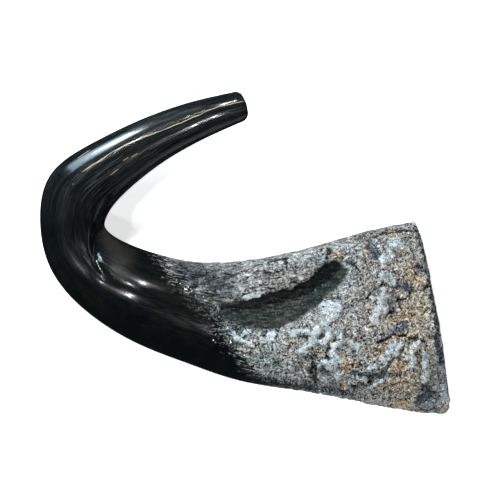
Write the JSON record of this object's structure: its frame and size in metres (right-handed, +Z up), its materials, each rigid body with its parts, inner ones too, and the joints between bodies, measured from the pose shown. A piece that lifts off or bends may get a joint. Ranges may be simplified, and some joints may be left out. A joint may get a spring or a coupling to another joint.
{
  "type": "buffalo horn",
  "caption": "Hollow horn sheath with a wide rough boss sawn flat at its base, a polished hooked arm and a blunt tip, lying as it rests on a table.",
  "frame": {"origin": "middle of the bottom of the horn's box as it lies at rest", "axes": "+X from the bend of the hook towards the saw cut on the boss, +Y from the boss towards the tip, +Z up from the table"},
  "size_m": [0.3626, 0.2828, 0.0866],
  "materials": {
    "horn": null
  },
  "bodies": {
    "root": {"horn": "horn"}
  },
  "joints": []
}
